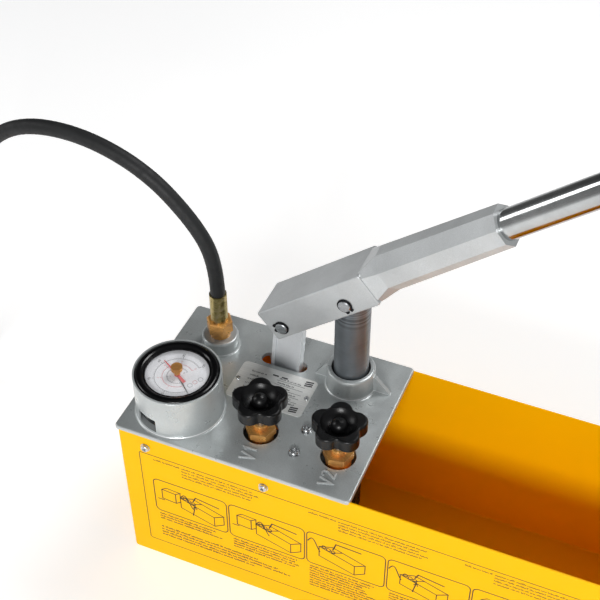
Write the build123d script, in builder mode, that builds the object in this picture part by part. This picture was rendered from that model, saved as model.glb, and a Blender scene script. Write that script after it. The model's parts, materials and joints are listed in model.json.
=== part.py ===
"""Hand-operated hydraulic test pump: an open sheet-steel tank, a cast cover that carries the pump
body, the gauge and two valves, a lever with its piston and fulcrum link, and a pressure hose.

Frame: millimetres, +Z up. The origin is the centre of the tank's underside. +X runs along the
tank towards the end where the operator holds the lever, -Y is the side with the valves.
The lever stands raised, as it is part of the way up its stroke.
"""
from build123d import *
import os
from math import cos, pi, radians, sin, sqrt, tan

os.makedirs("parts", exist_ok=True)

# ---------------------------------------------------------------- driving dimensions
tank_length = 500.0
tank_width = 167.0
tank_corner = 4.0
tank_bend = 2.5
sheet = 1.2

plate_length = 226.0
plate_width = 170.0
plate_corner = 4.0
plate_thickness = 4.0
plate_edge = 1.4
plate_top = 181.0
plate_left = -251.5
plate_front = -plate_width / 2
plate_under = plate_top - plate_thickness
tank_rim = plate_top - 2.0
plate_x = plate_left + plate_length / 2

pump_line = plate_front + 130.0  # the row of piston, link and hose outlet
valve_line = plate_front + 44.4  # the row of gauge and valves
gauge_x = plate_left + 44.4
hose_x = plate_left + 44.4
valve_x = {1: plate_left + 124.5, 2: plate_left + 198.5}
piston_x = plate_left + 177.0
body_screw_points = [(plate_left + 161.5, plate_front + 32.0), (plate_left + 161.5, plate_front + 60.6)]
side_screw_x = (plate_left + 29.5, plate_left + 145.7)
side_screw_z = plate_top - 19.0

cup_radius = 40.0
cup_height = 44.5
cup_bore = 38.3
cup_floor = plate_top + 3.0
boss_radius = 17.5
boss_height = 14.0
collar_radius = 22.5
collar_height = 22.0
gland_radius = 18.2
valve_hole = 16.0
slot_length = 45.4
slot_width = 14.0
slot_x = plate_left + 110.5

piston_radius = 16.0
running_fit = 0.05
pin_radius = 5.5
pin_overhang = 2.6
circlip_thickness = 1.0
circlip_outer = 7.6

lever_angle = 39.3  # degrees above the horizontal, at rest
pin_spacing = 76.0
piston_pin_z = plate_top + 116.8
link_pin_x = piston_x - pin_spacing * cos(radians(lever_angle))
link_pin_z = piston_pin_z - pin_spacing * sin(radians(lever_angle))
yoke_front = -90.0
yoke_rear = 32.0
yoke_low = -11.0
yoke_high = 22.0
yoke_width = 44.0
yoke_gap = 34.0
yoke_ceiling = 17.3
yoke_gap_rear = 20.0
socket_start = 47.0
socket_end = 165.0
socket_flats = (37.0, 33.5)
tube_radius = 13.0
tube_wall = 2.0
tube_offset = 8.0  # the tube's axis lies this far above the line of the two pins
tube_start = 56.0
grip_start = 420.0
grip_end = 548.0
grip_radius = 16.5

link_lean = 4.2  # degrees from the vertical, at rest
link_length = 100.0
link_width = 28.0
link_thickness = 11.0
link_flange = 3.4
link_recess = 2.0
fulcrum_x = link_pin_x - link_length * sin(radians(link_lean))
fulcrum_z = link_pin_z - link_length * cos(radians(link_lean))
fulcrum_slack = (3.1, 1.8)  # room round the fulcrum pin, along and across
lug_thickness = 6.0

valve_nut_flats = 24.0
valve_nut_height = 7.0
spindle_radius = 4.5
knob_radius = 25.0
knob_low = plate_top + 31.0
knob_high = plate_top + 44.0
knob_lobes = 5
knob_turn = {1: 41.0, 2: 33.0}

hose_radius = 7.0
ferrule_top = plate_top + 65.0
outer_turn_radius = 89.0
inner_turn_radius = 74.0
hose_length_bought = 1500.0
end_ferrule_length = 32.0
end_nut_length = 21.0
end_nut_flats = 27.0
end_thread_radius = 9.3

x_axis = (1, 0, 0)
back = (0, 1, 0)
front = (0, -1, 0)
up = (0, 0, 1)


def side_plane(x, y, z):
    """A plane in the XZ direction through a point: local x is +X, local y is +Z."""
    return Plane(origin=(x, y, z), x_dir=x_axis, z_dir=front)


def upright_axis(x, y):
    """A vertical axis through a point in plan."""
    return Axis((x, y, 0), up)


# ---------------------------------------------------------------- tank
with BuildPart() as tank:
    with BuildSketch():
        RectangleRounded(tank_length, tank_width, tank_corner)
    extrude(amount=tank_rim)
    fillet(tank.faces().sort_by(Axis.Z)[0].edges(), tank_bend)
    offset(amount=-sheet, openings=tank.faces().sort_by(Axis.Z)[-1])
    with BuildSketch(Plane.XZ):
        with Locations(*[(x, side_screw_z) for x in side_screw_x]):
            Circle(2.7)
    extrude(amount=tank_width, both=True, mode=Mode.SUBTRACT)
tank.part.label = "tank"
export_step(tank.part, "parts/tank.step")

# ---------------------------------------------------------------- cover casting
letter_height = 12.0
letter_stroke = 1.5
letter_relief = 0.9
letter_v = [(0, letter_height), (3.6, 0), (7.2, letter_height)]
digits = {
    1: [(10.2, 9.4), (12.6, letter_height), (12.6, 0)],
    2: [(9.4, 9.2), (10.4, 11.4), (12.6, letter_height), (14.8, 10.6), (14.6, 7.8), (9.4, 0), (15.4, 0)],
}
# x, y, radius, height, foot fillet, top fillet of each upright boss
bosses = [
    (gauge_x, valve_line, cup_radius, cup_height, 2.5, 0.7),
    (hose_x, pump_line, boss_radius, boss_height, 2.0, 2.5),
    (piston_x, pump_line, collar_radius, collar_height, 3.0, 2.4),
]
gusset_reach = {1: 39.0, -1: 34.5}
side_lug = (14.0, 9.0, 27.0)

with BuildPart() as cover:
    with BuildSketch(Plane.XY.offset(plate_under)):
        with Locations((plate_x, 0)):
            RectangleRounded(plate_length, plate_width, plate_corner)
    extrude(amount=plate_thickness)
    fillet(cover.faces().sort_by(Axis.Z)[-1].edges(), plate_edge)
    # the rebate that the tank's rim sits in
    with BuildSketch(Plane.XY.offset(plate_under)):
        RectangleRounded(tank_length + 0.3, tank_width + 0.3, tank_corner)
        RectangleRounded(tank_length - 2 * sheet - 0.6, tank_width - 2 * sheet - 0.6, 3.0, mode=Mode.SUBTRACT)
    extrude(amount=tank_rim - plate_under, mode=Mode.SUBTRACT)
    # gussets of the piston collar
    for side in (1, -1):
        with BuildSketch(side_plane(piston_x, pump_line, plate_top)):
            with BuildLine():
                Polyline(
                    (side * (collar_radius - 2), -1),
                    (side * gusset_reach[side], -1),
                    (side * gusset_reach[side], 0.8),
                    (side * (collar_radius + 1.5), 17.5),
                    (side * (collar_radius - 2), 17.5),
                    close=True,
                )
            make_face()
        extrude(amount=2.0, both=True)
    for x, y, radius, height, foot, crown in bosses:
        with BuildSketch(side_plane(x, y, plate_top)):
            with BuildLine():
                Polyline((0, height), (0, -2), (radius + foot + 1, -2), (radius + foot + 1, 0))
                Line((radius + foot + 1, 0), (radius + foot, 0))
                TangentArc((radius + foot, 0), (radius, foot), tangent=(-1, 0))
                Line((radius, foot), (radius, height - crown))
                TangentArc((radius, height - crown), (radius - crown, height), tangent=(0, 1))
                Line((radius - crown, height), (0, height))
            make_face()
        revolve(axis=upright_axis(x, y))
    # gauge cup: bore, stem hole, drain slot
    with BuildSketch(Plane.XY.offset(cup_floor)):
        with Locations((gauge_x, valve_line)):
            Circle(cup_bore)
    extrude(amount=cup_height, mode=Mode.SUBTRACT)
    drain = Plane(
        origin=(gauge_x, valve_line, cup_floor + 7.5),
        x_dir=(sin(radians(111)), cos(radians(111)), 0),
        z_dir=(-cos(radians(69)), -sin(radians(69)), 0),
    )
    with BuildSketch(drain):
        RectangleRounded(22, 15, 1.5)
    extrude(amount=cup_radius + 4, mode=Mode.SUBTRACT)
    # holes through the plate
    with BuildSketch(Plane.XY.offset(plate_under - 1)):
        with Locations((gauge_x, valve_line)):
            Circle(9)
        with Locations((hose_x, pump_line)):
            Circle(9)
        with Locations((piston_x, pump_line)):
            Circle(gland_radius)
        with Locations(*[(x, valve_line) for x in valve_x.values()]):
            Circle(valve_hole)
        with Locations((slot_x, pump_line)):
            SlotOverall(slot_length, slot_width)
        with Locations(*body_screw_points):
            Circle(2.6)
    extrude(amount=60, mode=Mode.SUBTRACT)
    # raised valve marks, read from the operator's end
    for number, x in valve_x.items():
        mark = Plane(origin=(x + letter_height / 2, plate_front + 9.5, plate_top), x_dir=back, z_dir=up)
        for stroke in (letter_v, digits[number]):
            with BuildSketch(mark):
                with BuildLine():
                    Polyline(*stroke)
                trace(line_width=letter_stroke)
            extrude(amount=letter_relief)
    with BuildSketch(Plane.XY.offset(plate_top)):
        with Locations((plate_left + 203.3, plate_front + 113.4)):
            Circle(3.2)
    extrude(amount=0.3)
    # lugs inside the tank walls for the side screws, drilled from outside
    lug_y = tank_width / 2 - sheet - 0.3 - side_lug[1] / 2
    with BuildSketch(Plane.XY.offset(plate_under)):
        with Locations(*[(x, y) for x in side_screw_x for y in (lug_y, -lug_y)]):
            Rectangle(side_lug[0], side_lug[1])
    extrude(amount=-side_lug[2])
    with BuildSketch(Plane.XZ):
        with Locations(*[(x, side_screw_z) for x in side_screw_x]):
            Circle(2.0)
    extrude(amount=plate_width, both=True, mode=Mode.SUBTRACT)
    # the two lugs under the slot that hold the fulcrum pin
    for side in (1, -1):
        lug_start = side * (slot_width / 2 - 0.5)
        with BuildSketch(side_plane(fulcrum_x, pump_line - lug_start, fulcrum_z)):
            with BuildLine():
                Polyline(
                    (-19, plate_under + 0.5 - fulcrum_z),
                    (-12, 0),
                    (12, 0),
                    (19, plate_under + 0.5 - fulcrum_z),
                    close=True,
                )
            make_face()
            Circle(12)
            Circle(pin_radius, mode=Mode.SUBTRACT)
        extrude(amount=side * lug_thickness)
cover.part.label = "cover"
export_step(cover.part, "parts/cover.step")

# ---------------------------------------------------------------- cross-head screws
def pan_screw(head_radius, head_height, shank_radius, shank_length, washer_radius):
    """A pan-head screw with a cross recess and a washer, its seat at the origin, head up."""
    washer = 0.8
    with BuildPart() as screw:
        with BuildSketch(Plane.XY.offset(-shank_length)):
            Circle(shank_radius)
        extrude(amount=shank_length)
        with BuildSketch():
            Circle(washer_radius)
        extrude(amount=washer)
        with BuildSketch(Plane.XY.offset(washer)):
            Circle(head_radius)
        extrude(amount=head_height)
        fillet(screw.faces().sort_by(Axis.Z)[-1].edges(), 0.55 * head_height)
        with BuildSketch(Plane.XY.offset(washer + head_height)):
            Rectangle(1.25 * head_radius, 0.28 * head_radius)
            Rectangle(0.28 * head_radius, 1.25 * head_radius)
        extrude(amount=-0.6 * head_height, mode=Mode.SUBTRACT)
    return screw.part


side_screw = pan_screw(3.9, 2.6, 2.0, 9.5, 4.6)
wall = tank_width / 2
with BuildPart() as side_screws:
    for x in side_screw_x:
        with Locations(Plane(origin=(x, -wall, side_screw_z), x_dir=(0.9, 0, 0.44), z_dir=front)):
            add(side_screw)
        with Locations(Plane(origin=(x, wall, side_screw_z), x_dir=(0.8, 0, 0.6), z_dir=back)):
            add(side_screw)
side_screws.part.label = "side_screws"
export_step(side_screws.part, "parts/side_screws.step")

body_screw = pan_screw(4.3, 3.0, 2.5, 16.0, 5.2)
with BuildPart() as body_screws:
    for turn, (x, y) in zip((0.35, 0.1), body_screw_points):
        with Locations(Plane(origin=(x, y, plate_top), x_dir=(cos(turn), sin(turn), 0), z_dir=up)):
            add(body_screw)
body_screws.part.label = "body_screws"
export_step(body_screws.part, "parts/body_screws.step")

# ---------------------------------------------------------------- data plate
nameplate_centre = (plate_left + 113.0, plate_front + 94.8)
nameplate_size = (75.0, 46.5)
nameplate_thickness = 0.6
rivet_spacing = 68.6

with BuildPart() as nameplate:
    with BuildSketch(Plane.XY.offset(plate_top)):
        with Locations(nameplate_centre):
            RectangleRounded(nameplate_size[0], nameplate_size[1], 4.5)
            with GridLocations(rivet_spacing, 0, 2, 1):
                Circle(1.3, mode=Mode.SUBTRACT)
    extrude(amount=nameplate_thickness)
nameplate.part.label = "nameplate"
export_step(nameplate.part, "parts/nameplate.step")

with BuildPart() as nameplate_rivets:
    with BuildSketch(Plane.XY.offset(plate_top)):
        with Locations(nameplate_centre):
            with GridLocations(rivet_spacing, 0, 2, 1):
                Circle(1.25)
    extrude(amount=nameplate_thickness)
    with BuildSketch(Plane.XY.offset(plate_top + nameplate_thickness)):
        with Locations(nameplate_centre):
            with GridLocations(rivet_spacing, 0, 2, 1):
                Circle(2.4)
    extrude(amount=1.1)
    fillet(nameplate_rivets.faces().group_by(Axis.Z)[-1].edges(), 0.9)
nameplate_rivets.part.label = "nameplate_rivets"
export_step(nameplate_rivets.part, "parts/nameplate_rivets.step")

# ---------------------------------------------------------------- pump body
body_top = plate_top - 10.0
body_low = plate_top - 36.0
barrel_low = plate_top - 104.0
barrel_radius = 24.0
liner_outer = 19.5
liner_inner = 16.6
liner_top = plate_top - 12.0
liner_low = plate_top - 84.0
valve_bore = 9.0
valve_seat_z = plate_top - 30.0
delivery_y = plate_front + 86.0
delivery_seat_z = plate_top - 28.0
ball_radius = 5.0
suction_seat_top = plate_top - 96.0
pad_points = body_screw_points + [(plate_left + 78.0, valve_line), (piston_x, pump_line)]
pad_radii = (8.0, 8.0, 9.0, barrel_radius)

with BuildPart() as pump_body:
    with BuildSketch(Plane.XY.offset(body_low)):
        with Locations((plate_left + 119.5, valve_line)):
            RectangleRounded(183, 30, 6)
        with Locations((gauge_x, (valve_line + pump_line) / 2)):
            RectangleRounded(28, 114, 6)
        with Locations((piston_x, (valve_line + pump_line) / 2)):
            RectangleRounded(30, 100, 6)
    extrude(amount=body_top - body_low)
    for (x, y), radius in zip(pad_points, pad_radii):
        with BuildSketch(Plane.XY.offset(body_low)):
            with Locations((x, y)):
                Circle(radius)
        extrude(amount=plate_under - body_low)
    with BuildSketch(Plane.XY.offset(barrel_low)):
        with Locations((piston_x, pump_line)):
            Circle(barrel_radius)
    extrude(amount=body_low - barrel_low)
    fillet(pump_body.faces().sort_by(Axis.Z)[0].edges(), 2.0)
    # cylinder: gland counterbore, liner bore, suction chamber and its threaded mouth
    for radius, low, high in (
        (gland_radius, liner_top, plate_top),
        (liner_outer, liner_low, plate_top),
        (8.0, suction_seat_top, plate_top),
        (10.0, barrel_low, suction_seat_top),
    ):
        with BuildSketch(Plane.XY.offset(low)):
            with Locations((piston_x, pump_line)):
                Circle(radius)
        extrude(amount=high - low, mode=Mode.SUBTRACT)
    # valve chambers with their small seats
    for x in valve_x.values():
        for radius, low in ((valve_bore, valve_seat_z), (2.5, body_low + 4.0)):
            with BuildSketch(Plane.XY.offset(low)):
                with Locations((x, valve_line)):
                    Circle(radius)
            extrude(amount=plate_top - low, mode=Mode.SUBTRACT)
    # delivery valve chamber on the cross arm, gauge port and hose port
    for x, y, radius, low in (
        (piston_x, delivery_y, 7.5, delivery_seat_z),
        (piston_x, delivery_y, 3.0, body_low + 4.0),
        (gauge_x, valve_line, 6.5, body_low + 8.0),
        (hose_x, pump_line, 8.0, body_low + 8.0),
    ):
        with BuildSketch(Plane.XY.offset(low)):
            with Locations((x, y)):
                Circle(radius)
        extrude(amount=plate_top - low, mode=Mode.SUBTRACT)
    # galleries: along the valve row, and back to the hose port
    with BuildSketch(Plane(origin=(gauge_x, valve_line, body_low + 7.0), x_dir=back, z_dir=x_axis)):
        Circle(2.5)
    extrude(amount=valve_x[2] - gauge_x, mode=Mode.SUBTRACT)
    with BuildSketch(Plane(origin=(hose_x, valve_line, body_low + 7.0), x_dir=x_axis, z_dir=back)):
        Circle(2.5)
    extrude(amount=pump_line - valve_line, mode=Mode.SUBTRACT)
    with Locations(*[(x, y, plate_under) for x, y in body_screw_points]):
        Hole(2.5, depth=17.5)
pump_body.part.label = "pump_body"
export_step(pump_body.part, "parts/pump_body.step")

# ---------------------------------------------------------------- cylinder pieces, all round the piston
# name, inner radius, outer radius, lowest and highest z
rings = [
    ("cylinder_liner", liner_inner, liner_outer, liner_low, liner_top),
    ("rod_seal", piston_radius + running_fit, gland_radius, liner_top, plate_top - 3.0),
    ("gland_bush", piston_radius + running_fit, gland_radius, plate_top - 3.0, plate_top + 17.0),
    ("wiper_ring", piston_radius + running_fit, gland_radius, plate_top + 17.0, plate_top + 20.5),
]
for name, inner, outer, low, high in rings:
    with BuildPart() as ring:
        with BuildSketch(Plane.XY.offset(low)):
            with Locations((piston_x, pump_line)):
                Circle(outer)
                Circle(inner, mode=Mode.SUBTRACT)
        extrude(amount=high - low)
        if name == "wiper_ring":
            chamfer(ring.faces().sort_by(Axis.Z)[-1].edges().sort_by(SortBy.RADIUS)[0], 1.2)
    ring.part.label = name
    export_step(ring.part, f"parts/{name}.step")

piston_low = piston_pin_z - 137.4
with BuildPart() as piston:
    with BuildSketch(side_plane(piston_x, pump_line, piston_pin_z)):
        Circle(piston_radius)
        with Locations((0, (piston_low - piston_pin_z) / 2)):
            Rectangle(2 * piston_radius, piston_pin_z - piston_low)
    extrude(amount=piston_radius, both=True)
    with BuildSketch(Plane.XY.offset(piston_low)):
        with Locations((piston_x, pump_line)):
            Circle(piston_radius)
    extrude(amount=piston_pin_z - piston_low + piston_radius, mode=Mode.INTERSECT)
    chamfer(piston.faces().sort_by(Axis.Z)[0].edges(), 1.2)
    with BuildSketch(side_plane(piston_x, pump_line, piston_pin_z)):
        Circle(pin_radius + running_fit)
    extrude(amount=2 * piston_radius, both=True, mode=Mode.SUBTRACT)
piston.part.label = "piston"
export_step(piston.part, "parts/piston.step")

# ---------------------------------------------------------------- suction and delivery valves
def hexagon(flats):
    """A hexagon across flats, in the current sketch."""
    return RegularPolygon(flats / 2, 6, major_radius=False)


ball_rest_gap = 0.3
with BuildPart() as suction_seat:
    with BuildSketch(Plane.XY.offset(barrel_low)):
        with Locations((piston_x, pump_line)):
            Circle(10.0)
    extrude(amount=suction_seat_top - barrel_low)
    with BuildSketch(Plane.XY.offset(barrel_low - 9)):
        with Locations((piston_x, pump_line)):
            hexagon(24)
    extrude(amount=9)
    with BuildSketch(Plane.XY.offset(barrel_low - 9)):
        with Locations((piston_x, pump_line)):
            Circle(3.0)
    extrude(amount=40, mode=Mode.SUBTRACT)
    with BuildSketch(Plane.XY.offset(barrel_low - 9)):
        with Locations((piston_x, pump_line)):
            Circle(4.5)
    extrude(amount=7, mode=Mode.SUBTRACT)
suction_seat.part.label = "suction_seat"
export_step(suction_seat.part, "parts/suction_seat.step")

seat_hole = 3.0
ball_height = sqrt(ball_radius**2 - seat_hole**2) + ball_rest_gap
ball_seats = (("suction_ball", pump_line, suction_seat_top), ("delivery_ball", delivery_y, delivery_seat_z))
for name, y, seat in ball_seats:
    with BuildPart() as ball:
        with Locations((piston_x, y, seat + ball_height)):
            Sphere(ball_radius)
    ball.part.label = name
    export_step(ball.part, f"parts/{name}.step")

with BuildPart() as delivery_plug:
    plug_low = delivery_seat_z + ball_height + ball_radius + 2.6
    with BuildSketch(Plane.XY.offset(plug_low)):
        with Locations((piston_x, delivery_y)):
            Circle(7.5)
    extrude(amount=body_top - plug_low)
    with BuildSketch(Plane.XY.offset(body_top)):
        with Locations((piston_x, delivery_y)):
            hexagon(17)
    extrude(amount=5.5)
delivery_plug.part.label = "delivery_plug"
export_step(delivery_plug.part, "parts/delivery_plug.step")

pipe_low = 26.0
with BuildPart() as suction_pipe:
    with BuildSketch(Plane.XY.offset(pipe_low)):
        with Locations((piston_x, pump_line)):
            Circle(4.5)
            Circle(3.0, mode=Mode.SUBTRACT)
    extrude(amount=barrel_low - 2 - pipe_low)
suction_pipe.part.label = "suction_pipe"
export_step(suction_pipe.part, "parts/suction_pipe.step")

strainer_low = 6.0
strainer_high = 36.0
with BuildPart() as strainer:
    with BuildSketch(Plane.XY.offset(strainer_low)):
        with Locations((piston_x, pump_line)):
            Circle(14.0)
    extrude(amount=strainer_high - strainer_low)
    fillet(strainer.edges().sort_by(Axis.Z)[-1], 2.0)
    with BuildSketch(Plane.XY.offset(strainer_low - 1)):
        with Locations((piston_x, pump_line)):
            Circle(12.6)
    extrude(amount=strainer_high - strainer_low - 3, mode=Mode.SUBTRACT)
    with BuildSketch(Plane.XY.offset(strainer_low)):
        with Locations((piston_x, pump_line)):
            Circle(4.5)
    extrude(amount=40, mode=Mode.SUBTRACT)
    for height in (12.0, 18.0, 24.0):
        for turn in range(0, 180, 45):
            slit = Plane(
                origin=(piston_x, pump_line, height),
                x_dir=(-sin(radians(turn)), cos(radians(turn)), 0),
                z_dir=(cos(radians(turn)), sin(radians(turn)), 0),
            )
            with BuildSketch(slit):
                Rectangle(7, 2.4)
            extrude(amount=20, both=True, mode=Mode.SUBTRACT)
strainer.part.label = "strainer"
export_step(strainer.part, "parts/strainer.step")

# ---------------------------------------------------------------- valves 1 and 2
disc_low = valve_seat_z + 0.3
disc_high = valve_seat_z + 6.0
spindle_low = disc_high + 0.3
dish_radius = 16.5
dish_depth = 7.5
dome_radius = 7.6
knob_hub_height = 2.5

for number, x in valve_x.items():
    with BuildPart() as bonnet:
        with BuildSketch(Plane.XY.offset(valve_seat_z + 12)):
            with Locations((x, valve_line)):
                Circle(valve_bore)
        extrude(amount=body_top - valve_seat_z - 12)
        with BuildSketch(Plane.XY.offset(body_top)):
            with Locations((x, valve_line)):
                Circle(11.5)
        extrude(amount=plate_top - body_top)
        with BuildSketch(Plane.XY.offset(plate_top)):
            with Locations(Location((x, valve_line, 0), (0, 0, 12))):
                hexagon(valve_nut_flats)
        extrude(amount=valve_nut_height)
        with BuildSketch(Plane.XY.offset(plate_top + valve_nut_height)):
            with Locations((x, valve_line)):
                Circle(6.6)
        extrude(amount=4.5)
        fillet(bonnet.faces().sort_by(Axis.Z)[-1].edges(), 0.8)
        with BuildSketch(Plane.XY.offset(valve_seat_z)):
            with Locations((x, valve_line)):
                Circle(spindle_radius + running_fit)
        extrude(amount=80, mode=Mode.SUBTRACT)
    bonnet.part.label = f"valve_{number}_bonnet"
    export_step(bonnet.part, f"parts/valve_{number}_bonnet.step")

    with BuildPart() as disc:
        with BuildSketch(Plane.XY.offset(disc_low + 1.5)):
            with Locations((x, valve_line)):
                Circle(7.5)
        extrude(amount=disc_high - disc_low - 1.5)
        extrude(disc.faces().sort_by(Axis.Z)[0], amount=1.5, taper=45)
    disc.part.label = f"valve_{number}_disc"
    export_step(disc.part, f"parts/valve_{number}_disc.step")

    with BuildPart() as spindle:
        with BuildSketch(Plane.XY.offset(spindle_low)):
            with Locations((x, valve_line)):
                Circle(spindle_radius)
        extrude(amount=knob_high - 6 - spindle_low)
    spindle.part.label = f"valve_{number}_spindle"
    export_step(spindle.part, f"parts/valve_{number}_spindle.step")

    with BuildPart() as knob:
        with BuildSketch(Plane.XY.offset(knob_low)) as lobes:
            with Locations((x, valve_line)):
                Circle(16)
                with PolarLocations(knob_radius - 10.2, knob_lobes, start_angle=knob_turn[number]):
                    Circle(10.2)
            fillet(lobes.vertices(), 5.0)
        extrude(amount=knob_high - knob_low)
        fillet(knob.faces().sort_by(Axis.Z)[-1].edges(), 2.2)
        fillet(knob.faces().sort_by(Axis.Z)[0].edges(), 1.6)
        # the dished top with its round-nosed hub
        with BuildSketch(side_plane(x, valve_line, knob_high)):
            with BuildLine():
                Polyline((0, 3), (dish_radius + 2.5, 3), (dish_radius, 0))
                ThreePointArc((dish_radius, 0), (dish_radius - 5.5, -5.6), (0, -dish_depth))
                Line((0, -dish_depth), (0, 3))
            make_face()
        revolve(axis=upright_axis(x, valve_line), mode=Mode.SUBTRACT)
        with BuildSketch(side_plane(x, valve_line, knob_high)):
            with BuildLine():
                Polyline((0, 2.8), (0, -dish_depth - 1), (dome_radius + 0.8, -dish_depth - 1))
                Line((dome_radius + 0.8, -dish_depth - 1), (dome_radius, -4.8))
                TangentArc((dome_radius, -4.8), (0, 2.8), tangent=(0, 1))
            make_face()
        revolve(axis=upright_axis(x, valve_line))
        # hub below, bored for the spindle
        with BuildSketch(Plane.XY.offset(knob_low - knob_hub_height)):
            with Locations((x, valve_line)):
                Circle(7.2)
        extrude(amount=knob_hub_height + 2)
        with BuildSketch(Plane.XY.offset(knob_low - 10)):
            with Locations((x, valve_line)):
                Circle(spindle_radius)
        extrude(amount=knob_high - 6 - knob_low + 10, mode=Mode.SUBTRACT)
    knob.part.label = f"valve_{number}_knob"
    export_step(knob.part, f"parts/valve_{number}_knob.step")

# ---------------------------------------------------------------- gauge
bezel_radius = 37.8
bezel_top = plate_top + 45.2
dial_radius = 31.0
window_opening = 28.6
case_low = cup_floor + 3.0
dial_z = bezel_top - 6.4
window_z = bezel_top - 3.6
needle_angle = -41.0
drag_angle = 149.0
reset_stem_height = 4.8
reset_head_height = 3.8
reset_head_radius = 5.2

gauge_axis = upright_axis(gauge_x, valve_line)
gauge_side = side_plane(gauge_x, valve_line, 0)

with BuildPart() as gauge_case:
    with BuildSketch(gauge_side):
        with BuildLine():
            Polyline(
                (0, case_low),
                (35.5, case_low),
                (36.6, case_low + 1.1),
                (36.6, bezel_top - 11),
                (34.4, bezel_top - 11),
                (34.4, dial_z - 0.8),
                (32.6, dial_z - 0.8),
                (32.6, case_low + 2),
                (0, case_low + 2),
                close=True,
            )
        make_face()
    revolve(axis=gauge_axis)
gauge_case.part.label = "gauge_case"
export_step(gauge_case.part, "parts/gauge_case.step")

with BuildPart() as gauge_stem:
    with BuildSketch(Plane.XY.offset(body_low + 12)):
        with Locations((gauge_x, valve_line)):
            Circle(6.5)
    extrude(amount=cup_floor - body_low - 12)
    with BuildSketch(Plane.XY.offset(cup_floor)):
        with Locations((gauge_x, valve_line)):
            hexagon(14)
    extrude(amount=case_low - cup_floor)
gauge_stem.part.label = "gauge_stem"
export_step(gauge_stem.part, "parts/gauge_stem.step")

with BuildPart() as gauge_bezel:
    with BuildSketch(gauge_side):
        with BuildLine():
            Line((36.6, bezel_top - 11), (bezel_radius, bezel_top - 11))
            Line((bezel_radius, bezel_top - 11), (bezel_radius, bezel_top - 3.2))
            ThreePointArc((bezel_radius, bezel_top - 3.2), (36.7, bezel_top - 0.9), (34.2, bezel_top))
            ThreePointArc((34.2, bezel_top), (31.6, bezel_top - 0.7), (30.4, bezel_top - 1.7))
            Line((30.4, bezel_top - 1.7), (window_opening, bezel_top - 2.2))
            Line((window_opening, bezel_top - 2.2), (window_opening, window_z))
            Line((window_opening, window_z), (34.4, window_z))
            Line((34.4, window_z), (34.4, bezel_top - 11))
            Line((34.4, bezel_top - 11), (36.6, bezel_top - 11))
        make_face()
    revolve(axis=gauge_axis)
gauge_bezel.part.label = "gauge_bezel"
export_step(gauge_bezel.part, "parts/gauge_bezel.step")

with BuildPart() as gauge_dial:
    with BuildSketch(Plane.XY.offset(dial_z - 0.8)):
        with Locations((gauge_x, valve_line)):
            Circle(dial_radius + 3.2)
            Circle(1.6, mode=Mode.SUBTRACT)
    extrude(amount=0.8)
gauge_dial.part.label = "gauge_dial"
export_step(gauge_dial.part, "parts/gauge_dial.step")

with BuildPart() as gauge_window:
    with BuildSketch(Plane.XY.offset(window_z - 1.4)):
        with Locations((gauge_x, valve_line)):
            Circle(dial_radius + 3.2)
            Circle(1.1, mode=Mode.SUBTRACT)
    extrude(amount=1.4)
gauge_window.part.label = "gauge_window"
export_step(gauge_window.part, "parts/gauge_window.step")


def pointer_plane(angle, z):
    """A horizontal plane on the gauge's axis with its local x along a pointer."""
    direction = (cos(radians(angle)), sin(radians(angle)), 0)
    return Plane(origin=(gauge_x, valve_line, z), x_dir=direction, z_dir=up)


with BuildPart() as gauge_needle:
    with BuildSketch(pointer_plane(needle_angle, dial_z + 0.3)):
        Polygon((-8, -1.0), (0, -1.0), (23.5, -0.25), (23.5, 0.25), (0, 1.0), (-8, 1.0), align=None)
        Circle(2.2)
    extrude(amount=0.35)
    with BuildSketch(Plane.XY.offset(dial_z - 3.5)):
        with Locations((gauge_x, valve_line)):
            Circle(1.2)
    extrude(amount=4.0)
gauge_needle.part.label = "gauge_needle"
export_step(gauge_needle.part, "parts/gauge_needle.step")

with BuildPart() as drag_pointer:
    with BuildSketch(pointer_plane(drag_angle, dial_z + 0.95)):
        Polygon((-11.5, -1.5), (0, -1.2), (22, -0.3), (22, 0.3), (0, 1.2), (-11.5, 1.5), align=None)
        Circle(2.6)
    extrude(amount=0.4)
    with BuildSketch(Plane.XY.offset(dial_z + 0.95)):
        with Locations((gauge_x, valve_line)):
            Circle(1.0)
    extrude(amount=window_z - dial_z + 0.2)
drag_pointer.part.label = "drag_pointer"
export_step(drag_pointer.part, "parts/drag_pointer.step")

with BuildPart() as reset_knob:
    with BuildSketch(Plane.XY.offset(window_z + 0.2)):
        with Locations((gauge_x, valve_line)):
            Circle(2.8)
    extrude(amount=reset_stem_height)
    with BuildSketch(Plane.XY.offset(window_z + 0.2 + reset_stem_height)):
        with Locations((gauge_x, valve_line)):
            Circle(reset_head_radius)
            with PolarLocations(reset_head_radius + 0.05, 24):
                Circle(0.28, mode=Mode.SUBTRACT)
    extrude(amount=reset_head_height)
    with BuildSketch(Plane.XY.offset(window_z)):
        with Locations((gauge_x, valve_line)):
            Circle(1.0)
    extrude(amount=1.2, mode=Mode.SUBTRACT)
reset_knob.part.label = "reset_knob"
export_step(reset_knob.part, "parts/reset_knob.step")

# ---------------------------------------------------------------- lever
lever_side = Plane(
    origin=(piston_x, pump_line, piston_pin_z),
    x_dir=(cos(radians(lever_angle)), 0, sin(radians(lever_angle))),
    z_dir=front,
)


def lever_point(along, across):
    """A point on the lever's middle plane, from the piston pin: along the lever, and up from it."""
    return lever_side.from_local_coords(Vector(along, across, 0))


def lever_section(along, across):
    """A plane square to the lever: local x is sideways, local y is up from the lever."""
    return Plane(origin=lever_point(along, across), x_dir=front, z_dir=lever_side.x_dir)


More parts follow.
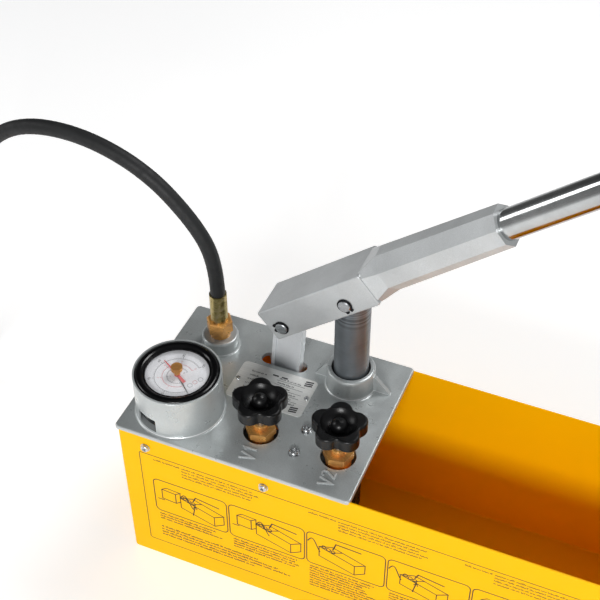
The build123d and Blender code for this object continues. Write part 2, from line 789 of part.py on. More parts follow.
def eight_sides(width, height, cut):
    """Corner points of a rectangle whose corners are cut off, centred on the origin."""
    half_w = width / 2
    half_h = height / 2
    return [
        (half_w, half_h - cut),
        (half_w - cut, half_h),
        (-half_w + cut, half_h),
        (-half_w, half_h - cut),
        (-half_w, -half_h + cut),
        (-half_w + cut, -half_h),
        (half_w - cut, -half_h),
        (half_w, -half_h + cut),
    ]


set_screw_plane = Plane(
    origin=lever_point(140, tube_offset - tube_radius), x_dir=front, z_dir=-lever_side.y_dir
)
set_screw_length = 5.6
corner_share = 1 - 1 / sqrt(2)  # a regular octagon cuts this share off each corner
yoke_height = yoke_high - yoke_low
yoke_middle = (yoke_high + yoke_low) / 2

with BuildPart() as lever_yoke:
    with BuildSketch(lever_side):
        with Locations(((yoke_front + yoke_rear) / 2, yoke_middle)):
            Rectangle(yoke_rear - yoke_front, yoke_height)
    extrude(amount=yoke_width / 2, both=True)
    # the ends of the pins' cheeks and the long upper edges are eased
    fillet(lever_yoke.edges().filter_by(Axis((0, 0, 0), back)), 2.5)
    fillet(lever_yoke.edges().filter_by(lambda edge: edge.length > 100), 1.6)
    # the shoulder runs from the cheeks into the eight-sided socket
    with BuildSketch(lever_section(yoke_rear - 4.0, yoke_middle)):
        Polygon(*eight_sides(yoke_width - 0.6, yoke_height - 0.6, 3.0), align=None)
    with BuildSketch(lever_section(socket_start, tube_offset)):
        Polygon(*eight_sides(socket_flats[0], socket_flats[0], corner_share * socket_flats[0]), align=None)
    loft(ruled=True)
    with BuildSketch(lever_section(socket_start, tube_offset)):
        Polygon(*eight_sides(socket_flats[0], socket_flats[0], corner_share * socket_flats[0]), align=None)
    with BuildSketch(lever_section(socket_end, tube_offset)):
        Polygon(*eight_sides(socket_flats[1], socket_flats[1], corner_share * socket_flats[1]), align=None)
    loft(ruled=True)
    # the gap that the piston's head and the link swing in, open below and at the front
    with BuildSketch(lever_side):
        with BuildLine():
            Polyline(
                (yoke_front - 5, yoke_low - 8),
                (yoke_gap_rear, yoke_low - 8),
                (yoke_gap_rear, yoke_ceiling),
                (yoke_front - 5, yoke_ceiling),
                close=True,
            )
        make_face()
    extrude(amount=yoke_gap / 2, both=True, mode=Mode.SUBTRACT)
    with BuildSketch(lever_side):
        with Locations((0, 0), (-pin_spacing, 0)):
            Circle(pin_radius)
    extrude(amount=yoke_width, both=True, mode=Mode.SUBTRACT)
    with BuildSketch(lever_section(tube_start, tube_offset)):
        Circle(tube_radius)
    extrude(amount=socket_end - tube_start + 10, mode=Mode.SUBTRACT)
    with BuildSketch(set_screw_plane):
        Circle(3.0)
    extrude(amount=10, mode=Mode.SUBTRACT)
lever_yoke.part.label = "lever_yoke"
export_step(lever_yoke.part, "parts/lever_yoke.step")

with BuildPart() as handle_tube:
    with BuildSketch(lever_section(tube_start, tube_offset)):
        Circle(tube_radius)
        Circle(tube_radius - tube_wall, mode=Mode.SUBTRACT)
    extrude(amount=grip_end - 4 - tube_start)
handle_tube.part.label = "handle_tube"
export_step(handle_tube.part, "parts/handle_tube.step")

grip_rings = 9
with BuildPart() as handle_grip:
    with BuildSketch(lever_section(grip_start, tube_offset)):
        Circle(grip_radius)
    extrude(amount=grip_end - grip_start)
    fillet(handle_grip.edges(), 3.0)
    for ring_number in range(grip_rings):
        with BuildSketch(lever_section(grip_start + 18 + 11 * ring_number, tube_offset)):
            Circle(grip_radius + 1)
            Circle(grip_radius - 0.9, mode=Mode.SUBTRACT)
        extrude(amount=2.4, mode=Mode.SUBTRACT)
    with BuildSketch(lever_section(grip_start - 1, tube_offset)):
        Circle(tube_radius)
    extrude(amount=grip_end - 4 - grip_start + 1, mode=Mode.SUBTRACT)
handle_grip.part.label = "handle_grip"
export_step(handle_grip.part, "parts/handle_grip.step")

# a set screw from below holds the tube in its socket
with BuildPart() as socket_screw:
    with BuildSketch(set_screw_plane):
        Circle(3.0)
    extrude(amount=set_screw_length)
    with BuildSketch(set_screw_plane.offset(set_screw_length)):
        hexagon(3.0)
    extrude(amount=-3, mode=Mode.SUBTRACT)
socket_screw.part.label = "socket_screw"
export_step(socket_screw.part, "parts/socket_screw.step")

# ---------------------------------------------------------------- pins and circlips
groove_depth = 0.5
pin_half = yoke_width / 2 + pin_overhang
for name, x, z in (("piston_pin", piston_x, piston_pin_z), ("link_pin", link_pin_x, link_pin_z)):
    with BuildPart() as pin:
        with BuildSketch(side_plane(x, pump_line, z)):
            Circle(pin_radius)
        extrude(amount=pin_half, both=True)
        chamfer(pin.edges(), 0.6)
        for side in (1, -1):
            with BuildSketch(side_plane(x, pump_line - side * (yoke_width / 2 + 0.1), z)):
                Circle(pin_radius + 1)
                Circle(pin_radius - groove_depth, mode=Mode.SUBTRACT)
            extrude(amount=side * circlip_thickness, mode=Mode.SUBTRACT)
    pin.part.label = name
    export_step(pin.part, f"parts/{name}.step")


circlip_turns = {"piston": (-40.0, 140.0), "link": (200.0, 60.0)}
with BuildPart() as circlips:
    for (front_turn, rear_turn), x, z in (
        (circlip_turns["piston"], piston_x, piston_pin_z),
        (circlip_turns["link"], link_pin_x, link_pin_z),
    ):
        for side, turn in ((1, front_turn), (-1, rear_turn)):
            start = pump_line - side * (yoke_width / 2 + 0.1)
            turned = Plane(
                origin=(x, start, z),
                x_dir=(cos(radians(turn)), 0, sin(radians(turn))),
                z_dir=front,
            )
            with BuildSketch(turned):
                Circle(circlip_outer - 0.7)
                with Locations((circlip_outer - 1.2, 2.6), (circlip_outer - 1.2, -2.6)):
                    Circle(1.7)
                Circle(pin_radius - groove_depth, mode=Mode.SUBTRACT)
                with Locations((circlip_outer, 0)):
                    Rectangle(8, 2.2, mode=Mode.SUBTRACT)
                with Locations((circlip_outer - 1.0, 2.7), (circlip_outer - 1.0, -2.7)):
                    Circle(0.65, mode=Mode.SUBTRACT)
            extrude(amount=side * circlip_thickness)
circlips.part.label = "circlips"
export_step(circlips.part, "parts/circlips.step")

lug_reach = slot_width / 2 - 0.5 + lug_thickness
with BuildPart() as fulcrum_pin:
    with BuildSketch(side_plane(fulcrum_x, pump_line, fulcrum_z)):
        Circle(pin_radius)
    extrude(amount=lug_reach + 1.5, both=True)
    chamfer(fulcrum_pin.edges(), 0.6)
    with BuildSketch(side_plane(fulcrum_x, pump_line - lug_reach, fulcrum_z)):
        Circle(pin_radius + 2.5)
    extrude(amount=2.0)
fulcrum_pin.part.label = "fulcrum_pin"
export_step(fulcrum_pin.part, "parts/fulcrum_pin.step")

# spacers that keep the link in the middle of the yoke
with BuildPart() as link_spacers:
    for side in (1, -1):
        with BuildSketch(side_plane(link_pin_x, pump_line - side * (link_thickness / 2 + 0.3), link_pin_z)):
            Circle(9.0)
            Circle(pin_radius, mode=Mode.SUBTRACT)
        extrude(amount=side * (yoke_gap / 2 - link_thickness / 2 - 0.3))
link_spacers.part.label = "link_spacers"
export_step(link_spacers.part, "parts/link_spacers.step")

# ---------------------------------------------------------------- fulcrum link
link_plane = Plane(
    origin=(link_pin_x, pump_line, link_pin_z),
    x_dir=(cos(radians(link_lean)), 0, -sin(radians(link_lean))),
    z_dir=front,
)
with BuildPart() as fulcrum_link:
    with BuildSketch(link_plane):
        with Locations((0, -link_length / 2)):
            SlotOverall(link_length + link_width, link_width, rotation=90)
        Circle(pin_radius + running_fit, mode=Mode.SUBTRACT)
        with Locations((0, -link_length)):
            SlotOverall(
                2 * (pin_radius + fulcrum_slack[0]), 2 * (pin_radius + fulcrum_slack[1]), mode=Mode.SUBTRACT
            )
    extrude(amount=link_thickness / 2, both=True)
    # recesses on both faces leave a flange along each edge
    for side in (1, -1):
        with BuildSketch(link_plane.offset(side * link_thickness / 2)):
            with Locations((0, -link_length / 2 + 1.0)):
                RectangleRounded(link_width - 2 * link_flange, link_length - 2 * 14.0, 3.0)
        extrude(amount=-side * link_recess, mode=Mode.SUBTRACT)
fulcrum_link.part.label = "fulcrum_link"
export_step(fulcrum_link.part, "parts/fulcrum_link.step")

# ---------------------------------------------------------------- hose outlet
adapter_low = plate_top + boss_height
hose_hex_low = adapter_low + 6.0
hose_hex_high = hose_hex_low + 13.0
with BuildPart() as hose_adapter:
    with BuildSketch(Plane.XY.offset(body_low + 12)):
        with Locations((hose_x, pump_line)):
            Circle(8.0)
    extrude(amount=adapter_low - body_low - 12)
    with BuildSketch(Plane.XY.offset(adapter_low)):
        with Locations((hose_x, pump_line)):
            Circle(9.8)
    extrude(amount=hose_hex_low - adapter_low)
    with BuildSketch(Plane.XY.offset(hose_hex_low)):
        with Locations(Location((hose_x, pump_line, 0), (0, 0, 8))):
            hexagon(22)
    extrude(amount=hose_hex_high - hose_hex_low)
    chamfer(hose_adapter.faces().sort_by(Axis.Z)[-1].edges(), 1.2)
hose_adapter.part.label = "hose_adapter"
export_step(hose_adapter.part, "parts/hose_adapter.step")

crimps = 10
with BuildPart() as hose_ferrule:
    with BuildSketch(Plane.XY.offset(hose_hex_high)):
        with Locations((hose_x, pump_line)):
            Circle(8.2)
            with PolarLocations(8.5, crimps):
                Rectangle(0.9, 1.6, mode=Mode.SUBTRACT)
    extrude(amount=ferrule_top - hose_hex_high)
hose_ferrule.part.label = "hose_ferrule"
export_step(hose_ferrule.part, "parts/hose_ferrule.step")

# ---------------------------------------------------------------- hose
floor_line = hose_radius
coil_centre = (plate_left - 352.0, pump_line - 89.0)
route = [
    (hose_x, pump_line, ferrule_top),
    (hose_x, pump_line, plate_top + 105.0),
    (plate_left + 24.0, pump_line, plate_top + 145.0),
    (plate_left - 19.0, pump_line, plate_top + 188.0),
    (plate_left - 80.0, pump_line, plate_top + 209.5),
    (plate_left - 143.0, pump_line, plate_top + 204.0),
    (plate_left - 187.0, pump_line, plate_top + 170.0),
    (plate_left - 213.0, pump_line, plate_top + 118.0),
    (plate_left - 222.0, pump_line, plate_top + 44.0),
    (plate_left - 232.0, pump_line, plate_top - 36.0),
    (plate_left - 244.0, pump_line, plate_top - 104.0),
    (plate_left - 268.0, pump_line, plate_top - 150.0),
    (plate_left - 309.0, pump_line, floor_line),
    (coil_centre[0], pump_line, floor_line),
]
# the free end lies on the coil: a last quarter turn on top of it, then straight along +X
coil_top = 2 * hose_radius
tail_low = coil_top + hose_radius + 0.5
tail_high = coil_top + end_nut_flats / 2 + 0.3
tail = [
    (coil_centre[0] - 72.0, coil_centre[1] + 16.4, tail_low),
    (coil_centre[0] - 72.0, coil_centre[1] - 8.6, tail_low + 0.2),
    (coil_centre[0] - 64.3, coil_centre[1] - 32.4, tail_low + 1.0),
    (coil_centre[0] - 49.6, coil_centre[1] - 52.6, tail_low + 2.4),
    (coil_centre[0] - 29.4, coil_centre[1] - 67.3, tail_low + 4.2),
    (coil_centre[0] - 5.6, coil_centre[1] - 75.0, tail_high),
    (coil_centre[0] + 18.4, coil_centre[1] - 75.0, tail_high),
]


def turn_radii(points):
    """The radius of the arc at each inner point: 0.45 of the shorter run over the half turn's tangent."""
    radii = []
    for before, here, after in zip(points, points[1:], points[2:]):
        run_in = Vector(here) - Vector(before)
        run_out = Vector(after) - Vector(here)
        half_turn = radians(run_in.get_angle(run_out)) / 2
        radii.append(0.45 * min(run_in.length, run_out.length) / tan(half_turn))
    return radii


for name, points in (("hose", route), ("hose_tail", tail)):
    radii = turn_radii(points)
    with BuildPart() as tube:
        with BuildLine() as path:
            FilletPolyline(*points, radius=radii)
        line = path.wire()
        with BuildSketch(Plane(origin=line @ 0, z_dir=line % 0)):
            Circle(hose_radius)
        sweep()
    section = pi * hose_radius**2
    print(name, "radii", [round(r) for r in radii], "length", round(line.length, 1),
          "volume over section x length", round(tube.part.volume / (section * line.length), 4))
    tube.part.label = name
    export_step(tube.part, f"parts/{name}.step")
    if name == "hose":
        hose_run = line.length
    else:
        tail_run = line.length

coil_outer = outer_turn_radius + hose_radius
coil_inner = inner_turn_radius - hose_radius
with BuildPart() as hose_coil:
    with BuildSketch():
        with Locations(coil_centre):
            Circle(coil_outer)
            Circle(coil_inner, mode=Mode.SUBTRACT)
    extrude(amount=2 * hose_radius)
    fillet(hose_coil.edges(), 5.0)
hose_coil.part.label = "hose_coil"
export_step(hose_coil.part, "parts/hose_coil.step")
print("length of hose in the coil", round(hose_length_bought - hose_run - tail_run, 1))

# the free end points along +X, its nut lying on a flat
end_plane = Plane(origin=tail[-1], x_dir=back, z_dir=x_axis)
with BuildPart() as end_ferrule:
    with BuildSketch(end_plane):
        Circle(8.2)
        with PolarLocations(8.5, crimps):
            Rectangle(0.9, 1.6, mode=Mode.SUBTRACT)
    extrude(amount=end_ferrule_length)
end_ferrule.part.label = "end_ferrule"
export_step(end_ferrule.part, "parts/end_ferrule.step")

with BuildPart() as end_nut:
    with BuildSketch(end_plane.offset(end_ferrule_length)):
        hexagon(end_nut_flats)
    extrude(amount=end_nut_length)
    chamfer(end_nut.faces().sort_by(Axis.X)[-1].edges(), 1.0)
    with BuildSketch(end_plane.offset(end_ferrule_length + 4)):
        Circle(end_thread_radius)
    extrude(amount=end_nut_length, mode=Mode.SUBTRACT)
end_nut.part.label = "end_nut"
export_step(end_nut.part, "parts/end_nut.step")
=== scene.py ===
"""Hand-operated hydraulic test pump: the looks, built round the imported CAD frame.

Metres, in the CAD's own frame: +Z up, the tank's underside on z = 0, +X towards the lever's grip,
-Y the side with the gauge and the valves.
"""
import json
import random
from math import cos, pi, radians, sin

import bmesh
import bpy
from mathutils import Matrix, Vector


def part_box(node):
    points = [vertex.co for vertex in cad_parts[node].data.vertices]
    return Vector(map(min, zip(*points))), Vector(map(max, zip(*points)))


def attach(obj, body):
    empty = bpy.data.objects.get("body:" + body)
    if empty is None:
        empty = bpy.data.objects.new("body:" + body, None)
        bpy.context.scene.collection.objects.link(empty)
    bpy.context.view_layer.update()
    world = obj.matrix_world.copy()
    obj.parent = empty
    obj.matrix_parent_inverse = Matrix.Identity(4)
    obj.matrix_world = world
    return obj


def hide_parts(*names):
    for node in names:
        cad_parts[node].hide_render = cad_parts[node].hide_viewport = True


MM = 0.001

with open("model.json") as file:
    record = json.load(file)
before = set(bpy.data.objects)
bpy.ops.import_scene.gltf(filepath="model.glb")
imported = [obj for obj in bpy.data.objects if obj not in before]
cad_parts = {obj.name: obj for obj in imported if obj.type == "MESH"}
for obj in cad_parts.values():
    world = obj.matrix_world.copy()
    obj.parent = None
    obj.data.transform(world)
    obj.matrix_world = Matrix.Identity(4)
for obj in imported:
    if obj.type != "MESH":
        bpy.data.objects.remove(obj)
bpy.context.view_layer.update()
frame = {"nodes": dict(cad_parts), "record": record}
nodes = frame["nodes"]
scene = bpy.context.scene
collection = scene.collection

# ---------------------------------------------------------------- places taken from the frame
cover_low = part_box("cover")[0]
plate_left = cover_low.x
plate_front = cover_low.y
plate_top = 181.0 * MM
wall_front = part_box("tank")[0].y
pump_line = plate_front + 130 * MM


def middle(node):
    """The centre of a node's box."""
    low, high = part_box(node)
    return (low + high) / 2


# ---------------------------------------------------------------- camera
azimuth = radians(22.97)
elevation = radians(43.08)
roll = radians(-0.22)
forward = Vector((-sin(azimuth) * cos(elevation), cos(azimuth) * cos(elevation), -sin(elevation)))

camera_data = bpy.data.cameras.new("camera")
camera_data.lens = 73.19
camera_data.sensor_width = 36.0
camera_data.clip_end = 50.0
camera = bpy.data.objects.new("camera", camera_data)
facing = forward.to_track_quat("-Z", "Y").to_matrix().to_4x4()
camera_place = Matrix.Translation((0.1839, -0.6839, 1.0075))
camera.matrix_world = camera_place @ facing @ Matrix.Rotation(roll, 4, "Z")
collection.objects.link(camera)
scene.camera = camera


# ---------------------------------------------------------------- materials
def linear(red, green, blue):
    """A linear colour from 0 to 255 display values."""
    channels = []
    for value in (red, green, blue):
        share = value / 255
        channels.append(((share + 0.055) / 1.055) ** 2.4 if value > 10 else share / 12.92)
    return (*channels, 1.0)


def scaled(colour, factor):
    """A colour made lighter or darker."""
    return tuple(min(1.0, c * factor) for c in colour[:3]) + (1.0,)


class Surface:
    """A Principled material with short names for the nodes that these surfaces need."""

    def __init__(self, name, roughness=0.5, metallic=0.0, **sockets):
        self.material = bpy.data.materials.new(name)
        self.material.use_nodes = True
        self.tree = self.material.node_tree
        self.shader = self.tree.nodes["Principled BSDF"]
        self.shader.inputs["Roughness"].default_value = roughness
        self.shader.inputs["Metallic"].default_value = metallic
        for socket, value in sockets.items():
            self.shader.inputs[socket.replace("_", " ")].default_value = value
        self.place = self.node("ShaderNodeTexCoord").outputs["Object"]

    def node(self, kind, **settings):
        made = self.tree.nodes.new(kind)
        for key, value in settings.items():
            setattr(made, key, value)
        return made

    def link(self, source, target):
        self.tree.links.new(source, target)

    def mapped(self, scale=(1, 1, 1), rotation=(0, 0, 0)):
        """The object's coordinates, turned and scaled."""
        mapping = self.node("ShaderNodeMapping")
        mapping.inputs["Rotation"].default_value = rotation
        mapping.inputs["Scale"].default_value = scale
        self.link(self.place, mapping.inputs["Vector"])
        return mapping.outputs["Vector"]

    def noise(self, scale, detail=3.0, rough=0.55, distortion=0.0, vector=None):
        made = self.node("ShaderNodeTexNoise")
        made.inputs["Scale"].default_value = scale
        made.inputs["Detail"].default_value = detail
        made.inputs["Roughness"].default_value = rough
        made.inputs["Distortion"].default_value = distortion
        self.link(vector or self.place, made.inputs["Vector"])
        return made.outputs["Fac"]

    def voronoi(self, scale):
        made = self.node("ShaderNodeTexVoronoi")
        made.inputs["Scale"].default_value = scale
        self.link(self.place, made.inputs["Vector"])
        return made.outputs["Distance"]

    def ramp(self, source, *stops):
        """A colour ramp: each stop is (position, colour)."""
        made = self.node("ShaderNodeValToRGB")
        elements = made.color_ramp.elements
        while len(elements) < len(stops):
            elements.new(0.5)
        for element, (position, colour) in zip(elements, stops):
            element.position = position
            element.color = colour
        self.link(source, made.inputs["Fac"])
        return made.outputs["Color"]

    def span(self, source, low, high, new_low, new_high):
        """A value carried from one span to another, kept inside it."""
        made = self.node("ShaderNodeMapRange")
        limits = (("From Min", low), ("From Max", high), ("To Min", new_low), ("To Max", new_high))
        for socket, value in limits:
            made.inputs[socket].default_value = value
        self.link(source, made.inputs["Value"])
        return made.outputs["Result"]

    def mix(self, factor, first, second, blend="MIX"):
        made = self.node("ShaderNodeMix", data_type="RGBA", blend_type=blend)
        for value, socket in ((factor, 0), (first, 6), (second, 7)):
            if isinstance(value, (int, float, tuple)):
                made.inputs[socket].default_value = value
            else:
                self.link(value, made.inputs[socket])
        return made.outputs[2]

    def math(self, operation, first, second=0.0):
        made = self.node("ShaderNodeMath", operation=operation)
        for value, socket in ((first, 0), (second, 1)):
            if isinstance(value, (int, float)):
                made.inputs[socket].default_value = value
            else:
                self.link(value, made.inputs[socket])
        return made.outputs[0]

    def colour(self, source):
        self.link(source, self.shader.inputs["Base Color"])
        return self

    def rough(self, source):
        self.link(source, self.shader.inputs["Roughness"])
        return self

    def bump(self, *layers):
        """Bump layers, each (height, depth in metres)."""
        normal = None
        for height, depth in layers:
            made = self.node("ShaderNodeBump")
            made.inputs["Strength"].default_value = 1.0
            made.inputs["Distance"].default_value = depth
            self.link(height, made.inputs["Height"])
            if normal is not None:
                self.link(normal, made.inputs["Normal"])
            normal = made.outputs["Normal"]
        self.link(normal, self.shader.inputs["Normal"])
        return self

    def height_above(self):
        """The object's own Z."""
        made = self.node("ShaderNodeSeparateXYZ")
        self.link(self.place, made.inputs["Vector"])
        return made.outputs["Z"]


def yellow_paint():
    """Powder coat, half gloss, with a fine orange peel."""
    s = Surface("yellow_paint", Specular_IOR_Level=0.08)
    base = linear(255, 189, 0)
    cloud = s.noise(9, 4)
    s.colour(s.ramp(cloud, (0.3, scaled(base, 0.95)), (0.7, base)))
    s.rough(s.span(s.noise(60, 3), 0.3, 0.7, 0.4, 0.52))
    return s.bump((s.noise(420, 2, 0.4), 0.00004), (s.noise(35, 2), 0.00008)).material


def cast_paint(name, base, low_rough, high_rough, metallic, painted_highlight_height=None):
    """Silver-grey paint over a die casting: a faint flake, a soft skin and a few pits.

    Surfaces at the given height, the tops of the raised figures, get a painted highlight: a lighter
    grey standing in for the light their tops catch.
    """
    s = Surface(name, metallic=metallic)
    cloud = s.ramp(s.noise(22, 5, 0.6), (0.32, scaled(base, 0.9)), (0.68, scaled(base, 1.07)))
    flake = s.ramp(s.noise(2600, 1), (0.35, (0.86, 0.86, 0.86, 1)), (0.65, (1.08, 1.08, 1.08, 1)))
    pits = s.ramp(s.voronoi(180), (0.0, (0.84, 0.84, 0.84, 1)), (0.07, (1, 1, 1, 1)))
    rare = s.ramp(s.noise(48, 2), (0.62, (0, 0, 0, 1)), (0.68, (1, 1, 1, 1)))
    spots = s.mix(rare, (1.0, 1.0, 1.0, 1.0), pits)
    painted = s.mix(1.0, s.mix(1.0, cloud, flake, "MULTIPLY"), spots, "MULTIPLY")
    # painted highlight: the tops of the raised figures are mixed towards a light grey, standing in for
    # the light they catch
    if painted_highlight_height is not None:
        off_height = s.math("ABSOLUTE", s.math("SUBTRACT", s.height_above(), painted_highlight_height))
        height_mask = s.span(off_height, 0.2 * MM, 0.35 * MM, 1.0, 0.0)
        painted = s.mix(height_mask, painted, linear(236, 239, 239))
    s.colour(painted)
    s.rough(s.span(s.noise(70, 4), 0.3, 0.7, low_rough, high_rough))
    return s.bump((s.noise(260, 3, 0.5), 0.00005), (s.noise(40, 3), 0.00018)).material


def turned_metal(name, base, dark, roughness, ring_scale, stain=0.5, metallic=1.0):
    """Machined metal: fine tool rings round Z and a cloudy stain."""
    s = Surface(name, metallic=metallic)
    rings = s.noise(1.0, 3, vector=s.mapped(scale=(30, 30, ring_scale)))
    cloud = s.noise(75, 4, 0.6, 0.6)
    tone = s.ramp(cloud, (0.5 - 0.5 * stain, dark), (0.62, base))
    s.colour(s.mix(0.25, tone, s.ramp(rings, (0.3, scaled(base, 0.55)), (0.7, base)), "MULTIPLY"))
    s.rough(s.span(cloud, 0.3, 0.7, roughness + 0.12, roughness - 0.04))
    return s.bump((rings, 0.00003), (s.noise(900, 2), 0.00001)).material


def piston_steel():
    """Dull ground steel with worn bands near the top of the stroke."""
    s = Surface("piston_steel", metallic=0.75)
    base = linear(122, 128, 133)
    fine = s.noise(1.0, 3, vector=s.mapped(scale=(9, 9, 1400)))
    bands = s.noise(1.0, 2, 0.7, vector=s.mapped(scale=(2, 2, 330)))
    height_mask = s.ramp(s.height_above(), (0.262, (0, 0, 0, 1)), (0.268, (1, 1, 1, 1)))
    marks = s.ramp(bands, (0.44, scaled(base, 0.62)), (0.52, base), (0.6, scaled(base, 1.25)))
    body = s.ramp(s.noise(60, 4), (0.3, scaled(base, 0.86)), (0.7, scaled(base, 1.06)))
    s.colour(s.mix(height_mask, body, marks))
    s.rough(s.span(fine, 0.3, 0.7, 0.36, 0.52))
    return s.bump((fine, 0.00002)).material


def chrome_tube():
    """Bright chrome with faint drawing lines along the tube and a little haze."""
    s = Surface("chrome_tube", metallic=1.0)
    along = Matrix.Rotation(radians(39.3), 3, "Y").to_euler()
    lines = s.noise(1.0, 3, vector=s.mapped(scale=(3, 900, 900), rotation=tuple(along)))
    haze = s.noise(35, 4, 0.6, 0.5)
    s.colour(s.ramp(haze, (0.3, (0.36, 0.37, 0.37, 1)), (0.7, (0.5, 0.51, 0.51, 1))))
    s.rough(s.span(haze, 0.35, 0.7, 0.09, 0.2))
    return s.bump((lines, 0.000003)).material


def bright_steel(name, base, roughness):
    """Zinc-plated or ground steel with a patchy bloom."""
    s = Surface(name, metallic=1.0)
    bloom = s.noise(240, 4, 0.6, 0.4)
    s.colour(s.ramp(bloom, (0.3, scaled(base, 0.72)), (0.66, base)))
    s.rough(s.span(s.noise(500, 3), 0.3, 0.7, roughness, roughness + 0.16))
    return s.bump((s.noise(1100, 2), 0.00001)).material


def black_moulding(name, low_rough, high_rough, grain, depth, base=(22, 22, 23)):
    """Black moulded plastic, its skin grained and a little greyed where it is handled."""
    s = Surface(name, Specular_IOR_Level=0.32)
    tone = linear(*base)
    s.colour(s.ramp(s.noise(55, 5, 0.6), (0.35, scaled(tone, 0.7)), (0.72, scaled(tone, 1.6))))
    s.rough(s.span(s.noise(120, 4), 0.3, 0.7, low_rough, high_rough))
    return s.bump((s.noise(grain, 3, 0.5), depth)).material


def hose_rubber():
    """Black rubber cover with the fine cross-marks of its cloth wrap."""
    s = Surface("hose_rubber", Specular_IOR_Level=0.4)
    tone = linear(25, 26, 27)
    wrap = s.noise(1500, 2, 0.4)
    s.colour(s.ramp(s.noise(45, 5, 0.65), (0.3, scaled(tone, 0.7)), (0.7, scaled(tone, 1.35))))
    s.rough(s.span(s.noise(160, 3), 0.3, 0.7, 0.5, 0.68))
    return s.bump((wrap, 0.00007), (s.noise(210, 3), 0.00014)).material


def plated_ferrule():
    """Yellow-passivated zinc: olive and straw clouds over steel."""
    s = Surface("ferrule_steel", metallic=1.0)
    cloud = s.noise(150, 4, 0.6, 1.4)
    olive, straw, steel = linear(120, 108, 62), linear(176, 160, 104), linear(196, 178, 140)
    s.colour(s.ramp(cloud, (0.3, olive), (0.5, straw), (0.68, steel)))
    s.rough(s.span(cloud, 0.3, 0.7, 0.28, 0.42))
    return s.bump((s.noise(1000, 2), 0.00002)).material


def data_plate_metal():
    """Brushed aluminium with the grain along the plate."""
    s = Surface("data_plate", metallic=0.45)
    grain = s.noise(1.0, 4, vector=s.mapped(scale=(40, 2200, 40)))
    s.colour(s.ramp(grain, (0.3, linear(222, 223, 220)), (0.7, linear(244, 244, 241))))
    s.rough(s.span(grain, 0.3, 0.7, 0.3, 0.44))
    return s.bump((grain, 0.00001)).material


def plain(name, base, roughness, variation=0.1, metallic=0.0, grain=700, depth=0.00002):
    """A quiet surface with only a little cloud and grain."""
    s = Surface(name, roughness=roughness, metallic=metallic)
    darker, lighter = scaled(base, 1 - variation), scaled(base, 1 + variation)
    s.colour(s.ramp(s.noise(70, 4), (0.3, darker), (0.7, lighter)))
    s.rough(s.span(s.noise(150, 3), 0.3, 0.7, max(0.02, roughness - 0.06), roughness + 0.06))
    return s.bump((s.noise(grain, 2), depth)).material


def window_glass():
    """The gauge's thin acrylic window."""
    s = Surface("window", roughness=0.03, IOR=1.45, Alpha=0.1)
    s.shader.inputs["Base Color"].default_value = (0.95, 0.97, 0.97, 1)
    s.material.surface_render_method = "BLENDED"
    return s.bump((s.noise(60, 2), 0.000004)).material


def printing_ink(name, base):
    """Screen-printed ink, slightly uneven."""
    return plain(name, base, 0.55, variation=0.25, grain=1800, depth=0.000005)


# the height of the raised figures' tops, where the grey paint carries a painted highlight
raised_figures = plate_top + 0.9 * MM
brass = linear(244, 188, 108)
slots = {
    "yellow_paint": yellow_paint(),
    "grey_paint": cast_paint("grey_paint", linear(190, 195, 195), 0.26, 0.38, 0.45, raised_figures),
    "lever_paint": cast_paint("lever_paint", linear(190, 193, 194), 0.3, 0.42, 0.4),
    "link_paint": cast_paint("link_paint", linear(222, 225, 228), 0.34, 0.46, 0.35),
    # painted shade: the bare pump casting is given a grey much darker than cast aluminium, standing in
    # for the shade under the cover's edge
    "raw_casting": cast_paint("raw_casting", linear(96, 96, 94), 0.5, 0.66, 0.7),
    "zinc_screw": bright_steel("zinc_screw", linear(215, 217, 218), 0.2),
    "bright_steel": bright_steel("bright_steel", linear(190, 193, 196), 0.26),
    "black_steel": bright_steel("black_steel", linear(48, 48, 50), 0.3),
    "piston_steel": piston_steel(),
    "chrome_tube": chrome_tube(),
    "data_plate": data_plate_metal(),
    "bronze": turned_metal("bronze", linear(180, 140, 90), linear(110, 80, 48), 0.3, 1500),
    "brass_fitting": turned_metal(
        "brass_fitting", brass, linear(196, 146, 88), 0.28, 1300, stain=0.25, metallic=0.55
    ),
    "ferrule_steel": plated_ferrule(),
    "hose_rubber": hose_rubber(),
    "grip_rubber": black_moulding("grip_rubber", 0.5, 0.66, 900, 0.00006, base=(34, 34, 35)),
    "seal_rubber": black_moulding("seal_rubber", 0.4, 0.55, 900, 0.00003),
    "knob_black": black_moulding("knob_black", 0.26, 0.4, 700, 0.00004, base=(8, 8, 9)),
    "black_case": black_moulding("black_case", 0.12, 0.22, 500, 0.00001, base=(6, 6, 7)),
    # painted shade: the strainer's own colour is not known; its dark grey stands in for the shade low
    # in the trough
    "strainer_plastic": plain("strainer_plastic", linear(52, 50, 46), 0.55),
    "dial_white": plain("dial_white", linear(236, 236, 240), 0.45, variation=0.02),
    "needle_black": plain("needle_black", linear(26, 26, 28), 0.4),
    "pointer_red": plain("pointer_red", linear(214, 32, 40), 0.35),
    "window": window_glass(),
}
ink_brown = printing_ink("ink_brown", linear(26, 14, 5))
ink_black = printing_ink("ink_black", linear(30, 30, 34))
ink_red = printing_ink("ink_red", linear(205, 70, 74))

for part in frame["record"]["subparts"]:
    mesh = nodes[part["node"]].data
    mesh.materials.clear()
    mesh.materials.append(slots[part["material_slot"]])


# ---------------------------------------------------------------- hose
hose_radius = 7 * MM
floor_line = hose_radius
hose_x = middle("hose_ferrule").x
ferrule_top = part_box("hose_ferrule")[1].z
coil_centre = Vector((plate_left - 352 * MM, pump_line - 89 * MM))
nut_flats = 27 * MM


def on_pump_line(x, z):
    """A point of the hose's arch, from the plate's left edge and top, in millimetres."""
    return (plate_left + x * MM, pump_line, plate_top + z * MM)


